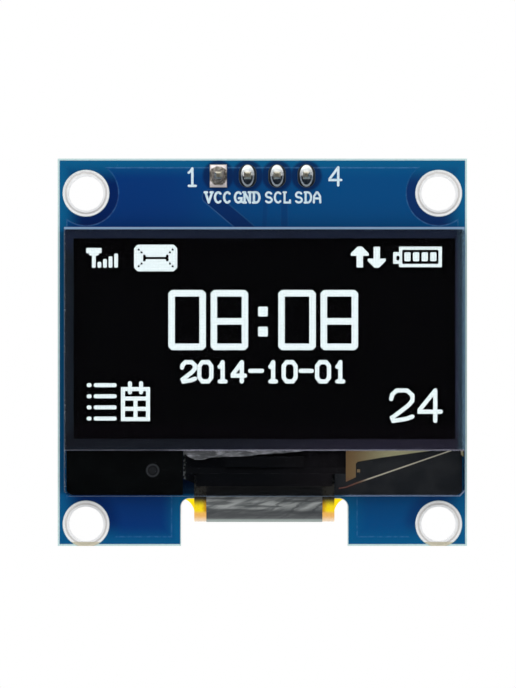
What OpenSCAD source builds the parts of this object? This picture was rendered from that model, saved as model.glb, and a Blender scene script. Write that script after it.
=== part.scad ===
// Small display module: a glass OLED panel stuck to a notched circuit board, with a flex cable that
// folds through the notch to the back, a four pin header and the supply parts on the back.
// +X is to the right as the screen is read, +Y runs from the screen to the back, +Z is up.
// The origin is the centre of the four mounting holes, on the laminate's back face.

/* [Circuit board] */
// Width of the board
board_w = 35.4; // [35:0.1:42]
// Height of the board
board_h = 33.5; // [33.1:0.1:36]
// Thickness of the bare laminate
board_t = 1.2; // [0.8:0.1:2]
// Bare laminate left between the solder mask and each cut edge
mask_rim = 0.17; // [0.05:0.01:0.3]
// Bare laminate left between the solder mask and the milled notch
notch_rim = 0.06; // [0.03:0.01:0.3]
// Thickness of the solder mask
mask_t = 0.03; // [0.02:0.005:0.045]
// Thickness of the tinned copper on top of the laminate
copper_t = 0.05; // [0.045:0.005:0.08]
// Free line between tinned copper and the mask round it
mask_gap = 0.04; // [0.02:0.01:0.08]

/* [Mounting holes] */
// Finished bore of each mounting hole
hole_d = 3.0; // [2:0.1:3.2]
// Distance from the board's left and right edges in to the holes
hole_side = 2.45; // [2.1:0.05:2.6]
// Distance from the board's upper edge down to the upper holes
hole_drop = 3.0; // [2.1:0.1:3.4]
// Distance from the board's lower edge up to the lower holes
hole_rise = 1.9; // [1.8:0.1:2.2]
// Width of the tinned ring round each hole
hole_ring = 0.5; // [0.3:0.05:0.6]
// Wall of the copper barrel in a hole
barrel_t = 0.04; // [0.03:0.01:0.08]

/* [Notch] */
// Height of the notch in the lower edge
notch_h = 4.1; // [3.6:0.1:4.6]
// Free space beside the flex in the notch
notch_gap = 1.17; // [0.9:0.01:1.4]
// Radius of the notch's upper corners
notch_r = 0.75; // [0.4:0.05:1]

/* [Header] */
// Number of header pins
pin_count = 4; // [2:1:6]
// Distance from pin to pin
pin_pitch = 2.54; // [2.3:0.01:2.7]
// Side of a square pin
pin_w = 0.64; // [0.5:0.01:0.66]
// Length of pin in front of the laminate
pin_tail = 1.6; // [1.3:0.1:2]
// Length of pin that stands out of the plastic
pin_free = 6.0; // [4:0.1:9]
// Length of the taper at a pin's ends
pin_taper = 0.35; // [0.2:0.05:0.6]
// Bore of a header hole
pin_bore = 0.98; // [0.96:0.01:1.05]
// Width of a header pad
pad_w = 1.45; // [1.3:0.05:1.6]
// Height of a header pad
pad_h = 1.95; // [1.7:0.05:2.1]
// Height of the solder up a pin
solder_h = 1.0; // [0.7:0.1:1.2]
// Distance from the board's upper edge down to the row of pins
header_drop = 1.5; // [1.4:0.05:1.7]
// Height of the header's plastic above the board
header_h = 2.5; // [2:0.1:3]
// Depth of the header's plastic across the row
header_depth = 2.5; // [2.2:0.1:2.7]
// Corner cut between one pin's block and the next
header_cut = 0.45; // [0.2:0.05:0.7]
// Play round a pin in the plastic
pin_play = 0.01; // [0.005:0.005:0.02]

/* [Display panel] */
// Board left beside the glass, as the mean of both sides
panel_side = 0.45; // [0.2:0.05:0.8]
// Distance the glass ends above the notch
panel_lift = 0.24; // [0:0.01:0.4]
// Height of the front glass that stands free below the cover glass
ledge_h = 3.95; // [3.8:0.05:4.4]
// Distance from the board's upper edge down to the glass
panel_drop = 5.96; // [5.6:0.01:6.1]
// Shift of the panel to the right of the board's middle
panel_shift = 0.17; // [0:0.01:0.2]
// Thickness of the front glass
glass_t = 0.6; // [0.4:0.05:0.8]
// Thickness of the cover glass
cover_t = 0.6; // [0.4:0.05:0.8]
// Thickness of the glue line between the two glasses
seal_t = 0.07; // [0.065:0.005:0.12]
// Corner cut at the lower corners of the front glass
corner_cut = 0.4; // [0.2:0.05:0.8]
// Clear bond line behind and in front of the glass
bond_t = 0.01; // [0.005:0.005:0.015]
// Distance from the sides of the glass in to the polarizer
polarizer_side = 0.2; // [0.1:0.05:0.5]
// Distance from the top of the glass down to the polarizer
polarizer_drop = 0.2; // [0.1:0.05:0.25]
// Distance the polarizer ends above the ledge
polarizer_lift = 0.1; // [0.05:0.05:0.4]
// Thickness of the polarizer
polarizer_t = 0.2; // [0.1:0.02:0.3]
// Thickness of the foam tape that holds the panel to the board
foam_t = 0.3; // [0.2:0.05:0.8]
// Width of a strip of foam tape
foam_w = 3.0; // [2:0.1:5]

/* [Screen] */
// Distance from the sides of the glass in to the light-emitting field
field_side = 0.8; // [0.6:0.05:1.2]
// Distance from the top of the glass down to the field
field_drop = 0.97; // [0.8:0.01:1.2]
// Distance the field ends above the ledge
field_lift = 0.98; // [0.8:0.01:1.2]
// Distance from the sides of the field in to the picture cells
cell_side = 1.09; // [0.8:0.01:1.4]
// Distance from the top of the field down to the first row of cells
cell_drop = 0.56; // [0.4:0.01:0.8]
// Distance the last row of cells ends above the foot of the field
cell_lift = 1.38; // [1:0.01:1.6]
// Thickness of the lit and of the dark film
emitter_t = 0.02; // [0.01:0.005:0.025]

/* [Flex] */
// Width of the flex in the notch
neck_w = 12.1; // [11:0.1:12.4]
// Thickness of the amber film
film_t = 0.08; // [0.05:0.01:0.12]
// Thickness of the coverlay and of the contacts on the film
skin_t = 0.04; // [0.03:0.01:0.06]
// Amber film left bare on each side of the coverlay
coverlay_side = 1.05; // [0.8:0.05:2]
// Length of film bonded behind the glass
head_h = 1.95; // [1.7:0.05:2]
// Length of the conductive bond at the head
bond_h = 1.1; // [0.8:0.05:1.2]
// Distance the fold hangs below the notch's upper edge
fold_drop = 2.04; // [1.9:0.01:2.3]
// Film left beside the outer contacts of the tail
tail_side = 0.4; // [0.2:0.05:1]
// Height of the flex tail
tail_h = 4.6; // [4.2:0.1:5.4]
// Distance the tail starts above the notch
tail_lift = 0.05; // [0.02:0.01:0.1]
// Radius where the neck widens into the tail
tail_r = 1.45; // [0.8:0.05:1.6]
// Number of contacts on the tail
contact_count = 30; // [20:1:30]
// Pitch of the contacts
contact_pitch = 0.7; // [0.6:0.01:0.71]
// Width of a contact
contact_w = 0.35; // [0.25:0.01:0.45]
// Length of a contact on the tail
contact_h = 2.1; // [1.5:0.1:2.4]
// Length of board pad that shows past the end of the tail
contact_toe = 0.7; // [0.4:0.1:1]

/* [Behind the ledge] */
// Length of the driver chip
driver_w = 6.8; // [5:0.1:9]
// Height of the driver chip
driver_h = 0.9; // [0.7:0.05:1]
// Thickness of the driver chip
driver_t = 0.3; // [0.2:0.02:0.4]
// Distance from the cover glass down to the driver chip
driver_drop = 0.55; // [0.4:0.05:0.6]
// Distance the black shield stands out on each side of the flex
shield_side = 0.95; // [0.6:0.05:1.4]
// Height of the black shield
shield_h = 2.85; // [2.7:0.05:3]
// Thickness of the black shield and of the side tapes
shield_t = 0.06; // [0.04:0.01:0.1]
// Free line round the shield and the tapes
tape_gap = 0.03; // [0.02:0.01:0.06]
// Distance the side tapes stay inside the edges of the glass
tape_inset = 0.18; // [0.1:0.01:0.25]
// Thickness of the metal lines on the glass
metal_t = 0.02; // [0.01:0.005:0.03]
// Length of the bronze lead along the cover glass
lead_w = 7.3; // [5:0.1:8]
// Width of the bronze lead beside the shield
lead_leg = 0.86; // [0.5:0.02:1]
// Width of the bare metal line across the right of the ledge
line_w = 0.1; // [0.06:0.01:0.2]
// Length of that line under the corner of the shield
line_reach = 0.6; // [0:0.05:0.8]
// Length of the sealant bead along the cover glass
bead_w = 10.1; // [8:0.1:12]
// Widest part of the sealant bead
bead_h = 0.82; // [0.5:0.02:1]
// Thickness of the sealant bead
bead_t = 0.26; // [0.1:0.02:0.3]

/* [Parts on the back] */
// Length of a chip capacitor or resistor
chip_w = 1.6; // [1.4:0.1:2]
// Depth of a chip capacitor or resistor
chip_d = 0.8; // [0.7:0.05:1.2]
// Height of a capacitor
capacitor_h = 0.8; // [0.5:0.05:1.2]
// Height of a resistor
resistor_h = 0.45; // [0.35:0.05:0.6]
// Number of capacitors in their row
capacitor_count = 5; // [3:1:5]
// Pitch of the capacitors
capacitor_pitch = 4.2; // [3.8:0.1:4.6]
// Number of resistors in their row
resistor_count = 5; // [3:1:5]
// Pitch of the resistors
resistor_pitch = 3.3; // [3:0.1:3.6]
// Distance from the tail's contacts up to the row of capacitors
row_gap = 2.0; // [1.6:0.1:2.4]
// Distance from the capacitors up to the resistors
row_pitch = 2.8; // [2.4:0.1:3.2]
// Length of a regulator's moulded body
regulator_w = 2.9; // [2.7:0.1:3.1]
// Depth of a regulator's moulded body
regulator_d = 1.3; // [1.2:0.1:1.6]
// Height of a regulator's moulded body
regulator_h = 1.0; // [0.8:0.05:1.2]
// Shift of the regulator from the board's middle
regulator_x = 8.0; // [5:0.1:11]
// Distance from the row of pins down to the regulator
regulator_drop = 5.6; // [5:0.1:7]
// Width of a regulator's lead
lead_t = 0.4; // [0.3:0.02:0.5]

/* [Hidden] */
$fn = 48;
PINS = [for (i = [1:pin_count]) i];
HOLES = [[-1, 1], [1, 1], [-1, -1], [1, -1]];
CAPACITORS = [for (i = [1:capacitor_count]) i];
RESISTORS = [for (i = [1:resistor_count]) i];
LEADS = [1, 2, 3];

// Widths across the board
hole_pitch_x = board_w - 2 * hole_side;
panel_w = board_w - 2 * panel_side;
polarizer_w = panel_w - 2 * polarizer_side;
field_w = panel_w - 2 * field_side;
coverlay_w = neck_w - 2 * coverlay_side;
shield_w = neck_w + 2 * shield_side;
tail_w = contact_count * contact_pitch + 2 * tail_side;

// Heights up the board
hole_pitch_z = board_h - hole_drop - hole_rise;
board_top = hole_pitch_z / 2 + hole_drop;
board_low = board_top - board_h;
notch_top = board_low + notch_h;
notch_w = neck_w + 2 * notch_gap;
header_z = board_top - header_drop;
glass_top = board_top - panel_drop;
glass_low = notch_top + panel_lift;
ledge_top = glass_low + ledge_h;
head_top = glass_low + head_h;
polarizer_top = glass_top - polarizer_drop;
field_top = glass_top - field_drop;
field_low = ledge_top + field_lift;

// Depths from the back of the laminate forward to the screen
mask_front = -board_t - mask_t;
cover_back = mask_front - foam_t;
cover_front = cover_back - cover_t;
glass_back = cover_front - seal_t;
glass_front = glass_back - glass_t;
film_front = glass_back + bond_t + skin_t;
film_back = film_front + film_t;
driver_back = glass_back + bond_t + driver_t;
tail_front = copper_t;
tail_back = tail_front + film_t;

// The fold of the flex, a half round from the back of the glass to the back of the board
fold_in = (tail_front - film_back) / 2;
fold_film = fold_in + film_t;
fold_skin = fold_film + skin_t;
fold_y = (tail_front + film_back) / 2;
fold_z = notch_top - fold_drop + fold_skin;
tail_low = notch_top + tail_lift;
tail_top = tail_low + tail_h;

// Cells of the picture, counted to the right and down from its upper left corner
cell_cols = 128;
cell_rows = 64;
cell_w = (field_w - 2 * cell_side) / cell_cols;
cell_h = (field_top - field_low - cell_drop - cell_lift) / cell_rows;
screen_left = panel_shift - cell_cols / 2 * cell_w;
screen_top = field_top - cell_drop;
digit_w = 13.5;
digit_h = 21.6;
digit_bar = 2.35;
digit_mid = 10.1;
digit_row = 16.2;
digit_cols = [29.5, 44.7, 69.0, 84.2];
icon_row = 0.6;
icon_low = 8.2;

// Rows of chips on the back
capacitor_z = tail_top + contact_toe + row_gap;
resistor_z = capacitor_z + row_pitch;
regulator_z = header_z - regulator_drop;
chip_cap = 0.32;
chip_proud = 0.02;
chip_toe = 0.3;
regulator_lift = 0.1;
lead_reach = 0.55;
lead_gauge = 0.13;
lead_pitch = 0.95;
lead_land_h = 0.9;
land_margin = 0.15;
lead_land_w = lead_t + 2 * land_margin;

function pin_x(i) = (i - (pin_count + 1) / 2) * pin_pitch;
function capacitor_x(i) = (i - (capacitor_count + 1) / 2) * capacitor_pitch;
function resistor_x(i) = (i - (resistor_count + 1) / 2) * resistor_pitch;
function hole_at(i) = [HOLES[i - 1].x * hole_pitch_x / 2, HOLES[i - 1].y * hole_pitch_z / 2];
function contact_x(i) = panel_shift + (i - (contact_count + 1) / 2) * contact_pitch;

// A flat piece: an outline seen from the screen side, with its front face at depth y
module plate(y, t) {
    translate([0, y + t, 0]) rotate([90, 0, 0]) linear_extrude(t) children();
}

// A side outline of depths and heights, carried along X and centred on x
module along_x(x, w) {
    translate([x - w / 2, 0, 0]) rotate([90, 0, 90]) linear_extrude(w) children();
}

// A round hole or plug through depths y to y + t
module drill(x, z, y, t, d) {
    translate([x, y + t, z]) rotate([90, 0, 0]) cylinder(d = d, h = t);
}

// A rectangle given by its middle along X and its lower and upper edge
module band(x, w, low, top) {
    translate([x - w / 2, low]) square([w, top - low]);
}

// Board outline and copper

module notch_outline(grow) {
    band(panel_shift, notch_w + 2 * grow, board_low - 1, notch_top - notch_r);
    band(panel_shift, notch_w - 2 * notch_r, board_low - 1, notch_top + grow);
    for (side = [-1, 1])
        translate([panel_shift + side * (notch_w / 2 - notch_r), notch_top - notch_r])
            circle(r = notch_r + grow);
}

module board_outline(inset = 0, notch_inset = 0) {
    difference() {
        band(0, board_w - 2 * inset, board_low + inset, board_top - inset);
        notch_outline(notch_inset);
    }
}

module pad_outline(i, grow = 0) {
    translate([pin_x(i), header_z])
        if (i == 1) {
            square([pad_w + 2 * grow, pad_h + 2 * grow], center = true);
        } else {
            square([pad_w + 2 * grow, pad_h - pad_w], center = true);
            for (side = [-1, 1])
                translate([0, side * (pad_h - pad_w) / 2]) circle(d = pad_w + 2 * grow);
        }
}

module circuit_board() {
    color([0.80, 0.84, 0.74]) difference() {
        plate(-board_t, board_t) board_outline();
        for (i = [1:4])
            drill(hole_at(i).x, hole_at(i).y, -board_t - 1, board_t + 2, hole_d + 2 * barrel_t);
        for (i = PINS) drill(pin_x(i), header_z, -board_t - 1, board_t + 2, pin_bore + 2 * barrel_t);
    }
}

// One side's mask, with its openings round the tinned copper
module mask(y) {
    color([0.0, 0.27, 0.53]) plate(y, mask_t) difference() {
        board_outline(mask_rim, notch_rim);
        for (i = [1:4]) translate(hole_at(i)) circle(d = hole_d + 2 * (hole_ring + mask_gap));
        for (i = PINS) pad_outline(i, mask_gap);
        if (y >= 0) {
            for (i = [1:contact_count]) contact_pad(i, mask_gap);
            for (place = LAND_PLACES) land_outline(place, mask_gap);
        }
    }
}

module front_mask() mask(mask_front);

module back_mask() mask(0);

// Tinned ring, barrel and ring of a mounting hole, cut off where the board ends
module hole_plating(i) {
    color([0.86, 0.87, 0.86]) difference() {
        union() {
            for (y = [-board_t - copper_t, 0])
                plate(y, copper_t) intersection() {
                    translate(hole_at(i)) circle(d = hole_d + 2 * hole_ring);
                    board_outline();
                }
            drill(hole_at(i).x, hole_at(i).y, -board_t, board_t, hole_d + 2 * barrel_t);
        }
        drill(hole_at(i).x, hole_at(i).y, -board_t - 1, board_t + 2, hole_d);
    }
}

// Header

module header_land(i) {
    color([0.80, 0.81, 0.80]) difference() {
        union() {
            for (y = [-board_t - copper_t, 0]) plate(y, copper_t) pad_outline(i);
            drill(pin_x(i), header_z, -board_t, board_t, pin_bore + 2 * barrel_t);
        }
        drill(pin_x(i), header_z, -board_t - 1, board_t + 2, pin_bore);
    }
}

// A pin outline along its length, tapered at both ends
module pin_outline(from, to) {
    polygon([
        [from, -pin_w / 4], [from + pin_taper, -pin_w / 2], [to - pin_taper, -pin_w / 2], [to, -pin_w / 4],
        [to, pin_w / 4], [to - pin_taper, pin_w / 2], [from + pin_taper, pin_w / 2], [from, pin_w / 4]
    ]);
}

module header_pin(i) {
    from = -board_t - pin_tail;
    to = copper_t + header_h + pin_free;
    color([0.83, 0.79, 0.66]) intersection() {
        translate([0, 0, header_z]) along_x(pin_x(i), 2 * pin_w) pin_outline(from, to);
        translate([pin_x(i), 0, header_z - pin_w]) linear_extrude(2 * pin_w)
            rotate(90) mirror([0, 1]) pin_outline(from, to);
    }
}

// Concave skirt of solder: oval rings that draw in from the pad to a collar round the pin
solder_lip = 0.08;
solder_collar = 0.42;
solder_sides = 32;
solder_steps = [0, 0.12, 0.3, 0.5, 0.68, 0.82, 0.92, 0.97];
function solder_ring(s, n) = let(
        half_w = (pad_w / 2 - mask_gap) * (1 - s) + solder_collar * s,
        half_h = (pad_h / 2 - mask_gap) * (1 - s) + solder_collar * s,
        rise = solder_h * (1 - sqrt(1 - s * s)) + (s > 0 ? solder_lip : 0)
    ) [for (k = [0:n - 1]) [half_w * cos(360 * k / n), -rise, half_h * sin(360 * k / n)]];

module solder_skirt() {
    n = solder_sides;
    last = len(solder_steps) - 1;
    points = [for (s = solder_steps) each solder_ring(s, n)];
    walls = [for (j = [0:last - 1], k = [0:n - 1])
        [j * n + k, j * n + (k + 1) % n, (j + 1) * n + (k + 1) % n, (j + 1) * n + k]];
    polyhedron(points, concat(walls, [[for (k = [0:n - 1]) n - 1 - k], [for (k = [0:n - 1]) last * n + k]]));
}

module solder_joint(i) {
    color([0.78, 0.79, 0.78]) difference() {
        translate([pin_x(i), -board_t - copper_t, header_z]) solder_skirt();
        translate([pin_x(i) - pin_w / 2, -board_t - pin_tail - 1, header_z - pin_w / 2])
            cube([pin_w, pin_tail + 2, pin_w]);
    }
}

module header_body() {
    cut = header_cut;
    half = header_depth / 2;
    side = pin_pitch / 2;
    color([0.07, 0.07, 0.08]) difference() {
        plate(copper_t, header_h) for (i = PINS)
            translate([pin_x(i), header_z]) polygon([
                [-side, cut - half], [cut - side, -half], [side - cut, -half], [side, cut - half],
                [side, half - cut], [side - cut, half], [cut - side, half], [-side, half - cut]
            ]);
        for (i = PINS)
            plate(copper_t - 1, header_h + 2) translate([pin_x(i), header_z])
                square(pin_w + 2 * pin_play, center = true);
    }
}

// Panel glass

module glass_outline(low, cut) {
    half = panel_w / 2;
    translate([panel_shift, 0]) polygon([
        [-half, glass_top], [half, glass_top],
        [half, low + cut], [half - cut, low], [cut - half, low], [-half, low + cut]
    ]);
}

module display_glass() {
    color([0.62, 0.70, 0.78, 0.25]) plate(glass_front, glass_t) glass_outline(glass_low, corner_cut);
}

module cover_glass() {
    color([0.50, 0.58, 0.64, 0.5]) plate(cover_front, cover_t)
        band(panel_shift, panel_w, ledge_top, glass_top);
}

module field(grow) {
    band(panel_shift, field_w + 2 * grow, field_low - grow, field_top + grow);
}

module edge_seal() {
    color([0.20, 0.23, 0.30]) plate(glass_back + bond_t, seal_t - bond_t) difference() {
        band(panel_shift, panel_w - 2 * tape_gap, ledge_top + tape_gap, glass_top - tape_gap);
        field(tape_gap);
    }
}

module polarizer() {
    color([0.05, 0.05, 0.07, 0.8]) plate(glass_front - bond_t - polarizer_t, polarizer_t)
        band(panel_shift - tape_gap, polarizer_w, ledge_top + polarizer_lift, polarizer_top);
}

module emitter_film() {
    color([0.02, 0.02, 0.02]) plate(glass_back + bond_t + emitter_t, emitter_t) field(0);
}

// Lit part of the emitter, drawn in picture cells: column, row, width and height
module cells(c, r, w, h, cut = 0) {
    translate([screen_left + c * cell_w, screen_top - (r + h) * cell_h]) scale([cell_w, cell_h]) polygon([
        [cut, 0], [w - cut, 0], [w, cut], [w, h - cut], [w - cut, h], [cut, h], [0, h - cut], [0, cut]
    ]);
}

module lit() {
    color([0.94, 0.98, 1.0]) plate(glass_back + bond_t, emitter_t) children();
}

// Frame of a clock digit with one window, or with two for an eight
module digit(c, windows) {
    edges = windows == 1 ? [[0, digit_h]] : [[0, digit_mid + digit_bar], [digit_mid, digit_h]];
    difference() {
        cells(c, digit_row, digit_w, digit_h, digit_bar / 2);
        for (edge = edges)
            cells(c + digit_bar, digit_row + edge[0] + digit_bar,
                digit_w - 2 * digit_bar, edge[1] - edge[0] - 2 * digit_bar);
    }
}

module clock_segments() {
    colon = 3.5;
    lit() {
        for (k = [0:3]) digit(digit_cols[k], k % 2 + 1);
        for (row = [22.2, 29.4]) cells(63.5 - colon / 2, row, colon, colon, 0.3);
    }
}

// Aerial and four rising bars
module signal_icon() {
    cells(0, 1.1, 5.5, 1.9, 0.2);
    cells(1, 2.9, 3.5, 0.9, 0.3);
    cells(2.05, 3.6, 1.35, icon_low - 3.6, 0.2);
    for (k = [0:3]) cells(4.05 + 2 * k, 6.1 - k, 1.35, icon_low - 6.1 + k, 0.3);
}

// Closed envelope with a dotted fold
module message_icon() {
    difference() {
        cells(17.2, -0.1, 15.5, 9.6, 1.3);
        cells(20.8, 4.3, 8.4, 0.85);
        for (c = [20.4, 28.6]) cells(c, 3.5, 1, 2.4, 0.2);
        for (k = [0, 1], side = [-1, 1], up = [-1, 1])
            cells(24.95 + side * (6.1 - k) - 0.4, 4.7 + up * (3.0 - k) - 0.4, 0.8, 0.8, 0.25);
    }
}

// Arrow with its tip up or down
module arrow_icon(c, up) {
    tip = up ? icon_row : icon_low;
    way = up ? 1 : -1;
    translate([screen_left, screen_top]) scale([cell_w, cell_h]) polygon([
        [c - 0.8, -tip], [c + 0.8, -tip], [c + 3.2, -tip - way * 2.4], [c + 3.2, -tip - way * 3.3],
        [c + 1.15, -tip - way * 3.3], [c + 1.15, -tip - way * 7.5], [c - 1.15, -tip - way * 7.5],
        [c - 1.15, -tip - way * 3.3], [c - 3.2, -tip - way * 3.3], [c - 3.2, -tip - way * 2.4]
    ]);
}

// Battery on its side with four full cells
module battery_icon() {
    difference() {
        union() {
            cells(112.4, icon_row, 15.4, 7.4, 0.2);
            cells(110.3, 2.6, 2.3, 4.2, 0.2);
        }
        cells(113.5, 1.75, 13.1, 5.1, 0.3);
        cells(111.4, 3.9, 1.2, 1.7, 0.3);
    }
    for (k = [0:3]) cells(114.3 + 3.1 * k, 2.65, 2.25, 3.2, 0.3);
}

module status_icons() {
    lit() {
        signal_icon();
        message_icon();
        arrow_icon(98.3, true);
        arrow_icon(104.4, false);
        battery_icon();
    }
}

// Behind the ledge of the front glass

module driver_chip() {
    top = ledge_top - driver_drop;
    color([0.10, 0.11, 0.13]) plate(glass_back + bond_t, driver_t)
        band(panel_shift, driver_w, top - driver_h, top);
}

// Bronze lead, bare line and aligning marks on the back of the glass
module panel_metal() {
    left = panel_shift + shield_w / 2 + tape_gap;
    right = panel_shift + panel_w / 2 - tape_gap;
    h = ledge_h;
    rise = [(right - left) * 0.9, h * 0.81];
    turn = [rise.x * 0.105, h * 0.09];
    color([0.62, 0.52, 0.36]) plate(glass_back + bond_t, metal_t) {
        translate([left, ledge_top - tape_gap]) polygon([
            [0, 0], [lead_w, 0], [lead_w * 0.42, -h * 0.15], [lead_leg * 1.2, -h * 0.24],
            [lead_leg, -h * 0.28], [lead_leg, -h * 0.58], [0, -h * 0.68]
        ]);
        translate([left, ledge_top - tape_gap - rise.y]) polygon([
            [-line_reach, -line_w], [0, 0], turn, rise, rise - [line_w * 3, 0], turn + [-line_w, line_w],
            [0, line_w], [-line_reach, 0]
        ]);
        translate([left + lead_leg + line_w, ledge_top - h * 0.48]) square(line_w * 2.6);
        translate([right, ledge_top - tape_gap]) scale(line_w)
            polygon([[0, 0], [0, -6], [-2.7, -3.2], [-2.7, 0]]);
    }
}

module flex_bond() {
    color([0.12, 0.11, 0.10]) plate(glass_back + bond_t, skin_t)
        band(panel_shift, neck_w - 2 * tape_inset, head_top - bond_h, head_top);
}

// Black tape formed over the driver chip and down on to the flex
module chip_shield() {
    top = ledge_top - tape_gap;
    knee = ledge_top - driver_drop - driver_h - tape_gap;
    low = ledge_top - shield_h;
    cut = shield_side * 0.45;
    color([0.03, 0.03, 0.04]) intersection() {
        along_x(panel_shift, shield_w) polygon([
            [driver_back, top], [driver_back, knee], [film_back, head_top], [film_back, low],
            [film_back + shield_t, low], [film_back + shield_t, head_top],
            [driver_back + shield_t, knee], [driver_back + shield_t, top]
        ]);
        plate(glass_back, board_t) translate([panel_shift, 0]) polygon([
            [-shield_w / 2, top], [shield_w / 2, top], [shield_w / 2, low + cut],
            [neck_w / 2, low], [-neck_w / 2, low], [-shield_w / 2, low + cut]
        ]);
    }
}

// Flat tape on one side of the shield, with a foot that may reach in under the shield's corner
module side_tape(side, y, foot) {
    inner = shield_w / 2 + tape_gap;
    outer = panel_w / 2 - tape_inset;
    low = glass_low + tape_inset / 2;
    knee = head_top - tape_gap;
    color(side < 0 ? [0.01, 0.02, 0.02] : [0.09, 0.10, 0.11]) plate(y, shield_t)
        translate([panel_shift, 0]) scale([side, 1]) polygon([
            [inner, ledge_top - tape_gap], [outer, ledge_top - tape_gap],
            [outer, low + corner_cut], [outer - corner_cut, low],
            [inner - foot, low], [inner - foot, knee], [inner, knee]
        ]);
}

module left_shield_tape() side_tape(-1, glass_back + bond_t, 0.01);

// The right tape lies over the metal lines
module right_shield_tape() side_tape(1, glass_back + bond_t + metal_t, shield_side);

// Bead of sealant in the corner below the cover glass: it swells fast and dies out slowly
function bead_depth(t) = bead_h * pow(min(1, t / 0.14), 0.6) * pow(1 - t, 0.75) * (1 + 0.10 * sin(900 * t));

module edge_sealant() {
    left = panel_shift - shield_w / 2;
    steps = 24;
    color([0.38, 0.38, 0.39]) plate(glass_back + bond_t, bead_t)
        translate([left, ledge_top - tape_gap]) polygon(concat(
            [[bead_w, 0], [0, 0]],
            [for (k = [1:steps - 1])
                [bead_w * k / steps, -min(bead_depth(k / steps), driver_drop - tape_gap)]]
        ));
}

module foam_tape(low) {
    color([0.9, 0.9, 0.88]) plate(cover_back, foam_t)
        band(panel_shift, field_w, low, low + foam_w);
}

module upper_foam_tape() foam_tape(glass_top - tape_inset - foam_w);

module lower_foam_tape() foam_tape(ledge_top + tape_inset);

// Flex cable

// Side outline of one layer: down behind the glass, round the fold and up the back of the board
module fold_outline(inner, outer, from, to) {
    translate([fold_y, fold_z]) intersection() {
        difference() {
            circle(r = outer);
            circle(r = inner);
        }
        translate([-outer - 1, -outer - 1]) square([2 * outer + 2, outer + 1]);
    }
    translate([fold_y - outer, fold_z]) square([outer - inner, from - fold_z]);
    translate([fold_y + inner, fold_z]) square([outer - inner, to - fold_z]);
}

// The neck where it widens through two inner rounds into the tail
module neck_outline() {
    low = fold_z - fold_film;
    difference() {
        band(panel_shift, neck_w + 2 * tail_r, low, tail_low + tail_lift);
        for (side = [-1, 1]) translate([panel_shift + side * (neck_w / 2 + tail_r), tail_low - tail_r]) {
            circle(r = tail_r);
            translate([-tail_r, low - tail_low]) square([2 * tail_r, tail_low - low]);
        }
    }
}

// The front half of the fold keeps the width of the neck, and the back half widens
module flex_film() {
    color([0.86, 0.58, 0.08]) {
        along_x(panel_shift, neck_w) fold_outline(fold_in, fold_film, head_top, tail_low);
        intersection() {
            along_x(panel_shift, neck_w + 2 * tail_r) fold_outline(fold_in, fold_film, head_top, tail_low);
            plate(fold_y, tail_back - fold_y) neck_outline();
        }
        plate(tail_front, film_t) band(panel_shift, tail_w, tail_low, tail_top);
    }
}

// Grey coverlay on the outside of the fold, which fans out over the tail
module flex_coverlay() {
    half = coverlay_w / 2;
    wide = contact_count * contact_pitch / 2;
    high = tail_h - contact_h - tape_gap;
    color([0.32, 0.33, 0.34]) {
        along_x(panel_shift, coverlay_w)
            fold_outline(fold_film, fold_skin, head_top - bond_h - tape_gap, tail_low);
        plate(tail_back, skin_t) translate([panel_shift, tail_low]) polygon([
            [-half, 0], [half, 0], [wide, high * 0.7], [wide, high], [-wide, high], [-wide, high * 0.7]
        ]);
    }
}

module flex_contacts() {
    color([0.83, 0.80, 0.70]) plate(tail_back, skin_t) for (i = [1:contact_count])
        band(contact_x(i), contact_w, tail_top - contact_h, tail_top);
}

module contact_pad(i, grow = 0) {
    band(contact_x(i), contact_w + 2 * grow, tail_top - contact_h - grow, tail_top + contact_toe + grow);
}

module board_contacts() {
    color([0.80, 0.80, 0.76]) plate(0, copper_t) for (i = [1:contact_count]) contact_pad(i);
}

// Solder that runs down from each contact to the toe of its pad
module contact_solder() {
    high = film_t + skin_t;
    reach = contact_toe - 2 * mask_gap;
    color([0.80, 0.81, 0.80]) for (i = [1:contact_count])
        along_x(contact_x(i), contact_w) translate([copper_t, tail_top]) polygon([
            [0, 0], [high, 0], [high * 0.55, reach * 0.3], [high * 0.25, reach * 0.65], [0, reach]
        ]);
}

// Parts on the back

// Place of each tinned land: middle along X, middle height, width and height
LAND_PLACES = concat(
    [for (i = CAPACITORS, side = [-1, 1]) chip_land(capacitor_x(i), capacitor_z, side)],
    [for (i = RESISTORS, side = [-1, 1]) chip_land(resistor_x(i), resistor_z, side)],
    [for (i = LEADS) let(way = lead_way(i))
        [lead_x(i), regulator_z + way * (regulator_d / 2 + lead_reach), lead_land_w, lead_land_h]]
);
function chip_land(x, z, side) =
    [x + side * (chip_w + chip_toe) / 2, z, chip_cap + 2 * chip_toe, chip_d + land_margin];
function lead_way(i) = i == 1 ? 1 : -1;
function lead_x(i) = regulator_x + [0, -lead_pitch, lead_pitch][i - 1];

module land_outline(place, grow = 0) {
    translate([place[0], place[1]]) square([place[2] + 2 * grow, place[3] + 2 * grow], center = true);
}

module chip_lands() {
    color([0.80, 0.81, 0.80]) plate(0, copper_t) for (place = LAND_PLACES) land_outline(place);
}

// Ceramic block with its metal end caps slightly proud
module chip(x, z, high, tint) {
    color(tint) translate([x, copper_t, z]) {
        translate([chip_cap - chip_w / 2, chip_proud, -chip_d / 2 + chip_proud])
            cube([chip_w - 2 * chip_cap, high - 2 * chip_proud, chip_d - 2 * chip_proud]);
        for (side = [-1, 1])
            translate([side * (chip_w - chip_cap) / 2 - chip_cap / 2, 0, -chip_d / 2])
                cube([chip_cap, high, chip_d]);
    }
}

module capacitor(i) chip(capacitor_x(i), capacitor_z, capacitor_h, [0.66, 0.52, 0.38]);

module resistor(i) chip(resistor_x(i), resistor_z, resistor_h, [0.09, 0.09, 0.10]);

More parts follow.
